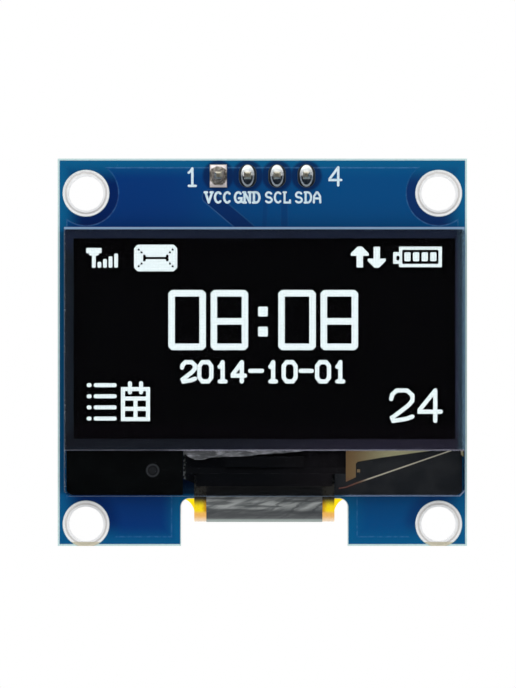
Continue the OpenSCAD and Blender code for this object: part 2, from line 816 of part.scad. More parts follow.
// Hollow-faced solder fillet at one end of a chip
module end_fillet(x, z, side, high) {
    r = min(chip_toe, high) * 0.9;
    translate([x + side * chip_w / 2, copper_t, z - chip_d / 2]) linear_extrude(chip_d) scale([side, 1])
        difference() {
            square(r);
            translate([r, r]) circle(r = r * 0.92);
        }
}

module chip_solder() {
    color([0.82, 0.83, 0.83]) for (side = [-1, 1]) {
        for (i = CAPACITORS) end_fillet(capacitor_x(i), capacitor_z, side, capacitor_h);
        for (i = RESISTORS) end_fillet(resistor_x(i), resistor_z, side, resistor_h);
    }
}

// Moulded body with drafted sides
module regulator_body() {
    draft = 0.1;
    back = copper_t + regulator_lift;
    mid = back + regulator_h / 2;
    top = back + regulator_h;
    w = regulator_w / 2;
    d = regulator_d / 2;
    color([0.06, 0.06, 0.07]) intersection() {
        translate([regulator_x, 0, regulator_z - regulator_d]) linear_extrude(2 * regulator_d) polygon([
            [draft - w, back], [w - draft, back], [w, mid], [w - draft, top], [draft - w, top], [-w, mid]
        ]);
        translate([0, 0, regulator_z]) along_x(regulator_x, 2 * regulator_w) polygon([
            [back, draft - d], [mid, -d], [top, draft - d], [top, d - draft], [mid, d], [back, d - draft]
        ]);
    }
}

// Gull-wing lead: out of the body, down and along the land
module regulator_lead(i) {
    way = lead_way(i);
    mid = copper_t + regulator_lift + regulator_h / 2;
    out = regulator_d / 2;
    knee = out + lead_reach * 0.45;
    toe = out + lead_reach + 0.25;
    g = lead_gauge;
    color([0.78, 0.79, 0.79]) translate([0, 0, regulator_z]) scale([1, 1, way])
        along_x(lead_x(i), lead_t) polygon([
            [mid - g / 2, out], [mid - g / 2, knee - g], [copper_t, knee], [copper_t, toe],
            [copper_t + g, toe], [copper_t + g, knee + g], [mid + g / 2, knee], [mid + g / 2, out]
        ]);
}

circuit_board();
front_mask();
back_mask();
for (i = [1:4]) hole_plating(i);
for (i = PINS) header_land(i);
for (i = PINS) solder_joint(i);
for (i = PINS) header_pin(i);
header_body();
polarizer();
display_glass();
cover_glass();
edge_seal();
emitter_film();
clock_segments();
status_icons();
driver_chip();
panel_metal();
flex_bond();
chip_shield();
left_shield_tape();
right_shield_tape();
edge_sealant();
upper_foam_tape();
lower_foam_tape();
flex_film();
flex_coverlay();
flex_contacts();
board_contacts();
contact_solder();
regulator_body();
for (i = LEADS) regulator_lead(i);
for (i = CAPACITORS) capacitor(i);
for (i = RESISTORS) resistor(i);
chip_lands();
chip_solder();
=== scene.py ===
import math

import bpy
import numpy as np
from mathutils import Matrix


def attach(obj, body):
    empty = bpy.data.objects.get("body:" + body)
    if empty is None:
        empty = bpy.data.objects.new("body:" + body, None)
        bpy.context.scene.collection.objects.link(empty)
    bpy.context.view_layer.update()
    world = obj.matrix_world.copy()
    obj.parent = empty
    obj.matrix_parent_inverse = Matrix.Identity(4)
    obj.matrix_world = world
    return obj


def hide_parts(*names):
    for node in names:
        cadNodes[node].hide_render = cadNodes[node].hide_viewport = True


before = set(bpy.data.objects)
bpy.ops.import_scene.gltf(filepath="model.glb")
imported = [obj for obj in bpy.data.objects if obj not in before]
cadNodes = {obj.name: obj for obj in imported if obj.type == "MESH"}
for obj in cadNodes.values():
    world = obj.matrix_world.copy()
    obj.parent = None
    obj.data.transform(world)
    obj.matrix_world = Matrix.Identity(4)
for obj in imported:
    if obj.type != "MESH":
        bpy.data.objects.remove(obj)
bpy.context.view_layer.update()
mm = 0.001  # Blender works in metres, and every length below is in millimetres
print("frame loaded with", len(cadNodes), "CAD nodes")


def paint(red, green, blue):
    # a screen colour of 0 to 255 turned into the linear colour that a shader takes
    c = np.array([red, green, blue]) / 255
    return (*np.where(c > 0.04045, ((c + 0.055) / 1.055) ** 2.4, c / 12.92).tolist(), 1.0)


class Signal:
    # one output socket; sums, products and so on of signals add their Math nodes
    def __init__(self, tree, socket):
        self.tree = tree
        self.socket = socket

    def math(self, operation, *others):
        values = dict(enumerate((self, *others)))
        return self.tree.add("ShaderNodeMath", {"operation": operation}, values)

    def flipped(self, operation, first):
        return self.tree.add("ShaderNodeMath", {"operation": operation}, {0: first, 1: self})

    def __add__(self, other): return self.math("ADD", other)
    def __sub__(self, other): return self.math("SUBTRACT", other)
    def __mul__(self, other): return self.math("MULTIPLY", other)
    def __truediv__(self, other): return self.math("DIVIDE", other)
    def __pow__(self, other): return self.math("POWER", other)
    def __abs__(self): return self.math("ABSOLUTE")
    def __rsub__(self, other): return self.flipped("SUBTRACT", other)
    def __rtruediv__(self, other): return self.flipped("DIVIDE", other)
    __radd__ = __add__
    __rmul__ = __mul__

    def least(self, other): return self.math("MINIMUM", other)
    def most(self, other): return self.math("MAXIMUM", other)
    def sine(self): return self.math("SINE")

    def fade(self, start, end):
        # 0 as far as start and 1 from end on, smooth between them
        limits = {"Value": self, "From Min": start, "From Max": end}
        return self.tree.add("ShaderNodeMapRange", {"interpolation_type": "SMOOTHSTEP"}, limits)

    def near(self, width, soft):
        # 1 where the signal is within width of zero
        return abs(self).fade(width + soft, width)


class NodeTree:
    def __init__(self, tree):
        self.tree = tree

    def add(self, kind, settings=None, inputs=None, output=0):
        # any node: its settings first, then the values or links of its sockets
        made = self.tree.nodes.new(kind)
        for key, value in (settings or {}).items():
            setattr(made, key, value)
        for key, value in (inputs or {}).items():
            self.feed(made.inputs[key], value)
        return Signal(self, made.outputs[output])

    def feed(self, socket, value):
        if isinstance(value, Signal):
            self.tree.links.new(value.socket, socket)
        else:
            socket.default_value = value

    def blend(self, factor, first, second):
        mixed = {"Factor": factor, 6: first, 7: second}
        return self.add("ShaderNodeMix", {"data_type": "RGBA"}, mixed, 2)


class Finish(NodeTree):
    # a material on the piece's own place in millimetres, in the frame that the CAD has
    def __init__(self, name, **constants):
        self.material = bpy.data.materials.new(name)
        self.material.use_nodes = True
        super().__init__(self.material.node_tree)
        self.shader = self.tree.nodes["Principled BSDF"]
        for key, value in constants.items():
            self.set(key, value)
        place = self.add("ShaderNodeTexCoord", output="Object")
        self.point = self.vector("SCALE", place, Scale=1 / mm)
        self.x = self.axis("X")
        self.y = self.axis("Y")
        self.z = self.axis("Z")
        self.flat = self.vector("MULTIPLY", self.point, (1, 0, 1))

    def set(self, key, value):
        names = {"specular": "Specular IOR Level", "colour": "Base Color", "glow": "Emission Color",
                 "glowStrength": "Emission Strength", "bump": "Normal"}
        self.feed(self.shader.inputs[names.get(key, key.capitalize())], value)
        return self

    def axis(self, name):
        return self.add("ShaderNodeSeparateXYZ", None, {0: self.point}, name)

    def vector(self, operation, *values, output=0, **named):
        inputs = {**dict(enumerate(values)), **named}
        return self.add("ShaderNodeVectorMath", {"operation": operation}, inputs, output)

    def noise(self, scale, detail=2.0, stretch=(1, 1, 1), roughness=0.55):
        place = self.vector("MULTIPLY", self.point, stretch)
        look = {"Vector": place, "Scale": scale, "Detail": detail, "Roughness": roughness}
        return self.add("ShaderNodeTexNoise", None, look)

    def fromSpot(self, x, z):
        # distance to a spot, as seen from the screen side
        return self.vector("DISTANCE", self.flat, (x, 0, z), output="Value")

    def fromLine(self, start, end):
        # distance to the straight line from start to end, as seen from the screen side
        way = np.array([end[0] - start[0], 0.0, end[1] - start[1]])
        arm = self.vector("SUBTRACT", self.flat, (start[0], 0, start[1]))
        dot = self.vector("DOT_PRODUCT", arm, tuple(way / (way @ way)), output="Value")
        share = dot.most(0.0).least(1.0)
        foot = self.vector("SCALE", tuple(way), Scale=share)
        return self.vector("LENGTH", self.vector("SUBTRACT", arm, foot), output="Value")

    def fromMirrored(self, x, z, below=False):
        # distance to the nearer of a spot and its mirror image across the middle; below adds the two under them
        place = self.add("ShaderNodeCombineXYZ", None, {0: abs(self.x), 2: abs(self.z) if below else self.z})
        return self.vector("DISTANCE", place, (x, 0, z), output="Value")

    def relief(self, height):
        # a height in millimetres made into a bumped normal
        parts = {"Strength": 1.0, "Distance": mm, "Height": height}
        return self.set("bump", self.add("ShaderNodeBump", None, parts))


def newPiece(name, points, faces, finish, smooth=False):
    # points in millimetres, faces as rows of point numbers
    mesh = bpy.data.meshes.new(name)
    mesh.from_pydata((np.asarray(points) * mm).tolist(), [], [list(map(int, f)) for f in faces])
    mesh.polygons.foreach_set("use_smooth", [smooth] * len(mesh.polygons))
    mesh.materials.append(finish.material)
    mesh.validate()
    piece = bpy.data.objects.new(name, mesh)
    bpy.context.scene.collection.objects.link(piece)
    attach(piece, "root")
    return piece


def gridFaces(rows, columns):
    # quads of a grid that closes on itself along its columns
    j, i = np.meshgrid(np.arange(rows - 1), np.arange(columns), indexing="ij")
    k = (i + 1) % columns
    quads = [j * columns + i, j * columns + k, (j + 1) * columns + k, (j + 1) * columns + i]
    return np.stack(quads, -1).reshape(-1, 4)


def penLine(line, width, front, back):
    # a flat bar swept along one pen line: half its width is laid off square to the line and mitred at a bend; a
    # free end is drawn in along a quarter round, and a line that ends where it starts is closed on itself
    roundEnd = (80, 60, 40, 20)  # degrees
    sharpest = -0.35  # cosine of the sharpest bend that still gets its full mitre
    path = np.array(line, float)
    moved = np.abs(np.diff(path, axis=0)).sum(1) > 1e-6
    path = path[np.append(True, moved)]
    closed = np.allclose(path[0], path[-1])
    way = np.diff(path, axis=0)
    way /= np.linalg.norm(way, axis=1)[:, None]
    into = np.vstack([way[-1:] if closed else way[:1], way])
    out = np.vstack([way, way[:1] if closed else way[-1:]])
    side, nextSide = into @ [[0, 1], [-1, 0]], out @ [[0, 1], [-1, 0]]
    bend = np.maximum(np.sum(side * nextSide, 1), sharpest)[:, None]
    half = (side + nextSide) / (1 + bend) * width / 2
    if closed:
        path, half = path[:-1], half[:-1]
    else:
        turn = np.radians(roundEnd)[:, None]
        rise, run = width / 2 * np.cos(turn), width / 2 * np.sin(turn)
        path = np.vstack([path[0] - way[0] * run, path, (path[-1] + way[-1] * run)[::-1]])
        half = np.vstack([side[0] * rise, half, (nextSide[-1] * rise)[::-1]])
    left, right = path + half, path - half
    corners = [(left, front), (right, front), (right, back), (left, back)]
    points = np.stack([np.stack([c[:, 0], np.full(len(c), y), c[:, 1]], -1) for c, y in corners], 1)
    rows = len(path)
    faces = gridFaces(rows + closed, 4) % (4 * rows)
    if not closed:
        faces = np.vstack([faces, [[3, 2, 1, 0]], [np.arange(4) + 4 * (rows - 1)]])
    return points.reshape(-1, 3), faces


def penRibbons(lines, width, front, back):
    # all pen lines in one mesh; lines that cross differ by a hair in depth
    hair, levels = 0.0008, 5
    points, faces, count = [], [], 0
    for k, line in enumerate(lines):
        skin, quads = penLine(line, width, front - hair * (k % levels), back)
        points.append(skin)
        faces.append(quads + count)
        count += len(skin)
    return np.vstack(points), np.vstack(faces)


def arc(x, z, across, up, start, end, steps=8):
    # points on an oval round (x, z) from one angle in degrees to another
    a = np.radians(np.linspace(start, end, steps))
    return [(x + across * c, z + up * s) for c, s in zip(np.cos(a), np.sin(a))]


board = {
    "halfWidth": 17.7, "top": 17.3, "low": -16.2, "ply": 0.17,
    "notchMiddle": 0.17, "notchHalf": 7.22, "notchTop": -12.1,
    "holeX": 15.25, "holeZ": 14.3, "holeTrough": 1.8, "clearance": 2.8, "pour": 0.78,
    "edgeBacklight": paint(1, 89, 136), "deepLeft": paint(0, 50, 114), "deepRight": paint(0, 71, 126),
    "hollowLeft": paint(0, 33, 90), "hollowRight": paint(8, 46, 100), "padHollow": paint(6, 34, 82),
    "line": paint(52, 112, 164), "fleck": paint(110, 156, 198), "paintedShadeUnderGlass": paint(2, 14, 34),
}
picture = {
    "left": -15.19, "top": 9.81, "cell": 0.24, "front": -2.19, "back": -2.17, "pen": 1.5, "iconPen": 1.45,
    "dateRow": 41.4, "dateHigh": 8.4, "number": (109.6, 52.3, 7.6, 10.9, 2.6),
    "glow": 2.0, "lit": paint(240, 253, 255), "seam": paint(150, 176, 184),
}
panel = {
    "left": -17.08, "right": 17.42, "top": 11.34, "low": -11.86, "ledge": -7.91, "corner": 0.4,
    "face": paint(5, 6, 8), "wall": paint(96, 122, 146), "sideBand": paint(92, 122, 142),
    "topEdgeHighlight": paint(140, 170, 204), "chipped": paint(190, 205, 220),
    "lowerEdgeHighlight": paint(112, 128, 156), "ledgeGlint": paint(150, 150, 166),
}
frontTracks = [  # the route, its half width and how dark the bare line under the mask is
    ([(-4.6, 14.0), (-0.6, 10.6)], 0.6, 0.9), ([(1.9, 14.2), (1.9, 10.0)], 0.3, 0.4),
    ([(0.3, 14.2), (0.1, 10.0)], 0.2, 0.25),
]
backTracks = [
    ([(-3.81, 15.8), (-3.81, 11.6), (-6.1, 9.3), (-6.1, 0.9), (-8.4, -1.4)], 0.3, 1.0),
    ([(-1.27, 15.8), (-1.27, 6.2), (-3.3, 4.2), (-3.3, -1.2)], 0.3, 1.0),
    ([(1.27, 15.8), (1.27, 2.2), (0.0, 0.9), (0.0, -1.2)], 0.12, 1.0),
    ([(3.81, 15.8), (3.81, 8.4), (3.3, 7.9), (3.3, -1.2)], 0.12, 1.0),
    ([(9.0, 8.9), (9.0, 4.4), (6.6, 2.0), (6.6, -1.2)], 0.22, 1.0),
    ([(7.05, 8.9), (7.05, 6.2), (4.9, 4.1), (4.9, -3.4), (4.2, -4.1)], 0.16, 1.0),
    ([(-12.6, 6.6), (-12.6, -2.0), (-10.2, -4.4), (-8.4, -4.4)], 0.12, 1.0),
    ([(12.2, 3.4), (12.2, -1.4), (8.4, -3.6)], 0.12, 1.0),
]
vias = [
    (-9.6, 12.2), (11.6, 12.6), (-12.6, 6.6), (12.2, 3.4), (-9.4, 3.2), (1.0, 9.4), (13.6, -4.6), (-13.8, -3.2),
]
joint = {
    "count": 4, "pitch": 2.54, "row": 15.8, "base": -1.251, "lip": 0.05, "height": 1.0, "collar": 0.4,
    "halfWide": 0.69, "halfHigh": 0.94, "ovalWide": 0.56, "hollow": 1.45,
    "padDarkLow": 14.4, "padDarkTop": 17.1, "padDarkHalf": 5.4, "padDarkBand": paint(30, 44, 62),
}
mask = {
    "specular": 0.22, "roughness": 0.16, "groove": 0.03, "trackSoft": 0.06, "lineSoft": 0.07,
    "backGap": 0.26, "viaRadius": 0.3, "paintedShadeUnderGlass": 0.85, "paintedShadeBesideGlass": 0.4,
}


def maskFinish(name, tracks, gap=None, spots=(), shaded=False):
    # blue lacquer, lighter over copper; a track is a dark line, or with a gap a light one between two dark ones
    f = Finish(name, specular=mask["specular"])
    b, m, p = board, mask, panel
    edge = (b["halfWidth"] - abs(f.x)).least(b["top"] - f.z).least(f.z - b["low"])
    edge = edge.least((abs(f.x - b["notchMiddle"]) - b["notchHalf"]).most(f.z - b["notchTop"]))
    hole = f.fromMirrored(b["holeX"], b["holeZ"], below=True)
    innerPads = f.fromMirrored(joint["pitch"] * 0.5, joint["row"])
    outerPads = f.fromMirrored(joint["pitch"] * 1.5, joint["row"])
    pour = (edge - b["pour"]).least(hole - b["clearance"])
    lower = f.z.fade(-4, -9)
    cloud = f.noise(0.16, 1)
    grain = f.noise(2.6, 3)
    # where no copper lies under the lacquer, and the light line along the copper's outline
    bare = (pour / (lower * 0.5 + 0.08)).fade(1, -1) * (1 - lower * 0.35)
    rimLine = pour * (1 - lower) + (edge - b["pour"]) * lower - 0.02
    lines = rimLine.near(0.03, 0.06) * (grain.fade(0.4, 0.6) * 0.3 + 0.1)
    lines = lines * (hole - b["clearance"]).fade(-0.1, 0.05)
    for route, half, weight in tracks:
        away = f.fromLine(route[0], route[1])
        for start, end in zip(route[1:], route[2:]):
            away = away.least(f.fromLine(start, end))
        away = away - half
        dark = away.fade(m["trackSoft"], -m["trackSoft"]) * weight
        if gap:
            dark = (away - gap / 2).near(gap / 2, 0.05) * weight
            bare = bare * away.fade(-m["trackSoft"], m["trackSoft"])
        bare = bare.most(dark)
        lines = lines.most(away.near(0.02, m["lineSoft"]) * (weight * weight * 0.3))
    # left to right, and paler towards the cut edge: painted light for the backdrop's light coming through the
    # board there
    side = (f.x + cloud * 6).fade(-9, 9)
    deep = f.blend(side, b["deepLeft"], b["deepRight"])
    copper = f.blend(edge.fade(1.9, 0.3) * 0.55, deep, b["edgeBacklight"])
    hollow = f.blend(side, b["hollowLeft"], b["hollowRight"])
    hollow = f.blend(edge.fade(2.3, 0.2), hollow, b["edgeBacklight"])
    body = f.blend(bare, copper, hollow)
    nearPads = (innerPads.least(outerPads) - joint["hollow"] + cloud * 0.2).fade(0.15, -0.15)
    body = f.blend(nearPads * 0.85, body, b["padHollow"])
    body = f.blend(lines, body, b["line"])
    for x, z in spots:
        spot = f.fromSpot(x, z)
        body = f.blend((spot - m["viaRadius"]).near(0.04, 0.08) * 0.5, body, b["line"])
        bare = bare.most(spot.fade(m["viaRadius"], 0.1))
    flecks = f.noise(1.7, 4).fade(0.73, 0.77) * 0.4
    body = f.blend(flecks, body, b["fleck"])
    if shaded:
        # painted shade on the lacquer under the glass panel and on the strip between the panel and the board's
        # left edge
        under = (f.x - p["left"]).least(p["right"] - f.x).least(f.z - p["low"]).least(p["top"] - f.z)
        beside = (f.x + p["right"]).fade(0.5, 0.3) * (p["top"] - f.z).fade(0.1, 0.5)
        beside = beside * (f.z - p["low"]).fade(0.0, 0.4)
        shade = (under.fade(-0.05, 0.25) * m["paintedShadeUnderGlass"]).most(beside * m["paintedShadeBesideGlass"])
        body = f.blend(shade, body, b["paintedShadeUnderGlass"])
    f.set("colour", body)
    f.set("roughness", grain * 0.1 + m["roughness"])
    return f.relief(bare * -m["groove"] + grain * 0.004 + cloud * 0.03)


def laminateFinish():
    # cut edges with thin plies across the thickness; dark in the free lines round the header pads
    f = Finish("laminate", specular=0.35)
    plies = (f.y * (2 * math.pi / board["ply"])).sine()
    weave = (f.x * 9).sine() * (f.z * 9).sine()
    grain = f.noise(3, 4)
    tone = f.blend(grain * 0.5 + plies * 0.16 + 0.1, paint(198, 226, 232), paint(176, 196, 176))
    j = joint
    padDarkBand = f.z.fade(j["padDarkLow"], j["padDarkLow"] + 0.1) * f.z.fade(j["padDarkTop"], j["padDarkTop"] - 0.1)
    padDarkBand = padDarkBand * abs(f.x).fade(j["padDarkHalf"], j["padDarkHalf"] - 0.2)
    f.set("colour", f.blend(padDarkBand * 0.85, tone, j["padDarkBand"]))
    f.set("roughness", grain * 0.2 + 0.5)
    return f.relief(plies * 0.006 + weave * 0.003 + grain * 0.02)


def platedFinish(name, bright, dull, roughness=0.28):
    # thin even plating with fine lengthwise drawing marks
    f = Finish(name, metallic=1.0)
    drawn = f.noise(6, 3, (1, 0.12, 1))
    f.set("colour", f.blend(drawn.fade(0.3, 0.7), dull, bright))
    f.set("roughness", drawn * 0.12 + roughness)
    return f.relief(drawn * 0.004)


def tinFinish(name, bright, dull, roughness=0.42):
    # hot tin: brighter and duller in random patches, wavy all over
    f = Finish(name, metallic=1.0)
    grain = f.noise(1.6, 3)
    fine = f.noise(9, 2)
    f.set("colour", f.blend(grain.fade(0.38, 0.62), dull, bright))
    f.set("roughness", fine * 0.2 + roughness - 0.1)
    return f.relief(grain * 0.05 + fine * 0.006)


def jointFinish(name, square):
    # solder on a header pad, by the place within one pin's pitch: a painted highlight above the pin, painted
    # shade below it, a painted highlight along the rim and dark round it; the square pad keeps bright corners
    # round a darker blob
    f = Finish(name, metallic=0.45)
    pitch = joint["pitch"]
    across = ((f.x / pitch + 20).math("FRACT") - 0.5) * pitch
    up = f.z - joint["row"]
    grain = f.noise(3.4, 3)
    oval = ((across / joint["ovalWide"]) ** 2.0 + (up / joint["halfHigh"]) ** 2.0) ** 0.5
    reach = (across * across + up * up) ** 0.5
    # painted highlight on the upper half and painted shade on the lower half, as if lit from above
    crown = (up + grain * 0.5 - 0.25).fade(-0.06, 0.1)
    tone = f.blend(crown, paint(36, 44, 54), paint(250, 252, 250))
    # painted highlight along the rim, brighter at its top
    rim = f.blend(crown, paint(186, 196, 204), paint(244, 248, 246))
    tone = f.blend((oval - 0.9).near(0.07, 0.05), tone, rim)
    tone = f.blend(oval.fade(0.98, 1.06), tone, paint(30, 38, 48))
    if square:
        # the square pad: a darker blob in the middle with bright corners round it
        centreBlob = f.blend(grain.fade(0.35, 0.65), paint(92, 86, 78), paint(168, 160, 150))
        tone = f.blend((reach + grain * 0.2).fade(0.86, 0.98), centreBlob, paint(244, 234, 234))
    behindBoard = f.y.fade(-0.6, -0.3)
    f.set("colour", f.blend(behindBoard, tone, paint(226, 228, 226)))
    f.set("roughness", grain * 0.2 + 0.3)
    return f.relief(grain * 0.05)


def ringFinish():
    # tin round a mounting hole, with a band of painted shade where ring and barrel meet and the tin dips, and
    # bare copper at a cut edge
    f = Finish("ringTin", metallic=0.3)
    hole = f.fromMirrored(board["holeX"], board["holeZ"], below=True) - board["holeTrough"]
    grain = f.noise(2.2, 3)
    # painted shade of the dip into the barrel
    trough = (hole + grain * 0.1).near(0.05, 0.06)
    tone = f.blend(trough * (grain * 0.5 + 0.6), paint(250, 251, 252), paint(212, 209, 207))
    cutEdge = (f.z - board["low"] - 0.36).fade(0.03, -0.03)
    f.set("colour", f.blend(cutEdge, tone, paint(206, 200, 178)))
    f.set("roughness", grain * 0.25 + 0.45)
    return f.relief(grain * 0.05 + hole.near(0.04, 0.1) * -0.02)


def glassFinish():
    # clear face with frosted ground edges; painted highlights along the top and lower edges and a painted glint
    # along the ledge, where the edges catch the light
    f = Finish("groundGlass", specular=0.9)
    p = panel
    grain = f.noise(2.4, 4)
    fine = f.noise(11, 3)
    fromLeft, fromRight, fromLow = f.x - p["left"], p["right"] - f.x, f.z - p["low"]
    fromTop, fromLedge = p["top"] - f.z, f.z - p["ledge"]
    # painted highlight along the top edge
    top = fromTop.fade(0.36, 0.12)
    left = fromLeft.fade(0.22, 0.08) * grain.fade(0.4, 0.6)
    # painted highlight along the lower edge and its rounded corner
    base = fromLow.fade(0.16, 0.06) * (f.x.fade(6.6, 7.6) * 0.42 + 0.05)
    cut = (fromLow + fromRight).fade(p["corner"] + 0.22, p["corner"] + 0.1)
    # painted glint along the ledge, where the rear glass's chamfered edge catches the light
    ledge = (fromLedge - 0.03).near(0.02, 0.06) * (fine.fade(0.38, 0.62) * 0.6 + 0.2)
    ledge = ledge * (f.x.fade(-9, -6) * 0.6 + 0.25)
    band = fromRight.fade(0.85, 0.1) * fromLedge.fade(0, 0.1)
    rightLine = fromRight.fade(0.16, 0.06) * (grain.fade(0.3, 0.6) * 0.7 + 0.2)
    hue = f.blend(band.fade(0, 0.2), p["face"], p["sideBand"])
    hue = f.blend(ledge.fade(0, 0.1), hue, p["ledgeGlint"])
    hue = f.blend(base.most(cut).fade(0, 0.1), hue, p["lowerEdgeHighlight"])
    hue = f.blend(top, hue, p["topEdgeHighlight"])
    hue = f.blend(left * fine.fade(0.45, 0.7), hue, p["chipped"])
    wall = fromLeft.least(fromRight).least(fromTop).least(fromLow)
    wall = wall.least((fromLow + fromRight - p["corner"]) * 0.7).fade(0.02, 0.01)
    f.set("colour", f.blend(wall, hue, f.blend(fine * 0.4, p["wall"], p["lowerEdgeHighlight"])))
    cover = (band * 0.55).most(ledge).most(base).most(cut * 0.8)
    cover = cover.most(top * 0.95).most(left * 0.6).most(rightLine).most(0.05)
    f.set("alpha", cover.most(wall * (grain * 0.3 + 0.55)))
    f.set("roughness", wall * 0.35 + 0.06)
    return f.relief(fine * 0.002)


def bronzeFinish():
    # metal printed on the glass, paler to the right, with one bright slanting line and a reddish foot
    f = Finish("bronzeLine", metallic=0.35, roughness=0.35)
    grain = f.noise(5, 3)
    tone = f.blend(f.x.fade(7.2, 11.5), paint(122, 94, 58), paint(190, 190, 150))
    slope, startX, startZ = 3.2, 16.3, -7.94
    line = ((f.z - startZ) * slope - (f.x - startX)).near(1.2, 0.3) * f.x.fade(8.2, 9.2)
    tone = f.blend(line, tone, paint(214, 210, 192))
    tone = f.blend((f.z + 10.5).fade(0.4, -0.5) * f.x.fade(9.4, 8.6), tone, paint(110, 52, 54))
    f.set("colour", f.blend(grain * 0.4, tone, paint(150, 128, 96)))
    return f.relief(grain * 0.004)


def ledgeTone(f):
    # black with a little blue at the left, a little brown at the right
    return f.blend(f.x.fade(-1, 6.6), paint(10, 12, 16), paint(24, 22, 25))


def ledgeFinish(name):
    # smooth black pieces behind the free ledge of the glass
    f = Finish(name, specular=0.06)
    grain = f.noise(6, 3)
    f.set("colour", f.blend(grain * 0.3, ledgeTone(f), paint(8, 9, 12)))
    f.set("roughness", grain * 0.2 + 0.3)
    return f.relief(grain * 0.003)


shield = {"left": -6.83, "fray": 0.28, "dust": paint(120, 120, 120), "frayed": paint(120, 126, 128)}


def shieldFinish():
    # black film with a little dust, frayed to grey at its left end
    f = Finish("shieldFilm", specular=0.03)
    grain = f.noise(4, 4)
    smear = f.noise(1.2, 3, (1, 1, 2.2))
    left = (f.x - shield["left"]).fade(shield["fray"], 0.05) * grain.fade(0.4, 0.62)
    tone = f.blend(0.25, ledgeTone(f), paint(1, 2, 5))
    tone = f.blend(left * 0.7, tone, shield["frayed"])
    dust = f.noise(6, 2).fade(0.76, 0.8)
    f.set("colour", f.blend(dust * 0.6, tone, shield["dust"]))
    f.set("roughness", smear * 0.3 + 0.3)
    return f.relief(grain * 0.006 + smear * 0.02)


def tapeFinish(name, tone, second, dent=None):
    # dark tape seen through the glass; a dent is given as x, z and radius, and shows as a paler ring
    f = Finish(name, specular=0.06)
    grain = f.noise(5, 4)
    cloud = f.noise(0.5, 2)
    hue = f.blend(cloud.fade(0.35, 0.7), tone, second)
    height = grain * 0.005
    if dent:
        x, z, radius = dent
        away = f.fromSpot(x, z)
        ring = (away - radius).near(0.03, 0.1)
        hue = f.blend(ring * 0.8 + away.fade(radius, radius * 0.4) * 0.35, hue, paint(52, 54, 58))
        height = height + ring * 0.02
    f.set("colour", hue)
    f.set("roughness", grain * 0.2 + 0.4)
    return f.relief(height)


def sealantFinish():
    # grey cured bead with pale streaks along it, partly smears in the resin and partly painted highlights
    f = Finish("greySealant", specular=0.4)
    streak = f.noise(1.1, 3, (0.8, 1, 3.0), 0.5)
    fine = f.noise(7, 3)
    f.set("colour", f.blend(streak.fade(0.4, 0.72), paint(74, 76, 80), paint(172, 174, 182)))
    f.set("roughness", fine * 0.3 + 0.25)
    return f.relief(streak * 0.06 + fine * 0.01)


flex = {
    "middle": 0.17, "neckHalf": 6.05, "blackFrom": -10.75, "turn": -13.3, "rim": -13.86,
    "streakAngle": 17, "streakStretch": (0.4, 1, 2.6), "creasePitch": 1.15,
    "coverlayReflectionDark": paint(92, 96, 97), "coverlayReflectionLight": paint(150, 154, 153),
    "yellow": paint(255, 226, 2), "amber": paint(226, 164, 34), "amberDark": paint(204, 138, 22),
    "glow": 0.75, "glowTint": paint(255, 214, 0),
}


def coverlayFinish():
    # black gloss lacquer painted grey as its painted reflection, with soft bright streaks that rise a little to
    # the right, and thin dark creases in painted shade that rise more
    f = Finish("coverlayPaintedReflection", specular=0.4)
    tilt = {"Vector": f.point, "Angle": math.radians(flex["streakAngle"])}
    tilted = f.add("ShaderNodeVectorRotate", {"rotation_type": "Y_AXIS"}, tilt)
    place = f.vector("MULTIPLY", tilted, flex["streakStretch"])
    streak = f.add("ShaderNodeTexNoise", None, {"Vector": place, "Scale": 1.25, "Detail": 3.0})
    fold = f.noise(1.3, 2, (0.2, 0.2, 3.2))
    crease = ((f.x * 0.62 - f.z * 0.78 + fold * 0.5) / flex["creasePitch"]).math("FRACT") - 0.5
    front = f.y.fade(-0.9, -1.4)
    belowGlass = f.z - panel["low"]
    aboveTurn = f.z - flex["turn"]
    # painted reflection: grey with brighter streaks, stronger on the front
    tone = f.blend(streak.fade(0.34, 0.68) * (front * 0.6 + 0.4), flex["coverlayReflectionDark"], flex["coverlayReflectionLight"])
    # painted shade in the creases and in the folds
    tone = f.blend(crease.near(0.04, 0.06) * front * f.x.fade(-2, 2.5) * 0.55, tone, paint(48, 51, 54))
    tone = f.blend(fold.fade(0.5, 0.38) * front * 0.7, tone, paint(64, 68, 70))
    # painted shadow just below the glass's lower edge, and painted shade where the coverlay curves into the
    # turn
    tone = f.blend(belowGlass.fade(-0.6, -0.05) * front * 0.55, tone, paint(72, 74, 76))
    tone = f.blend(aboveTurn.fade(0.55, -0.05) * 0.85, tone, paint(60, 63, 66))
    # painted reflection of the pale room along the rim of the turn
    tone = f.blend((f.z - flex["rim"]).fade(0.1, -0.1), tone, paint(150, 162, 158))
    # painted shade: black under the glass
    tone = f.blend(belowGlass.fade(-0.06, 0.06) * front, tone, paint(2, 3, 6))
    f.set("colour", tone)
    f.set("roughness", streak * 0.3 + 0.25)
    return f.relief(streak * 0.02 + fold * 0.03)


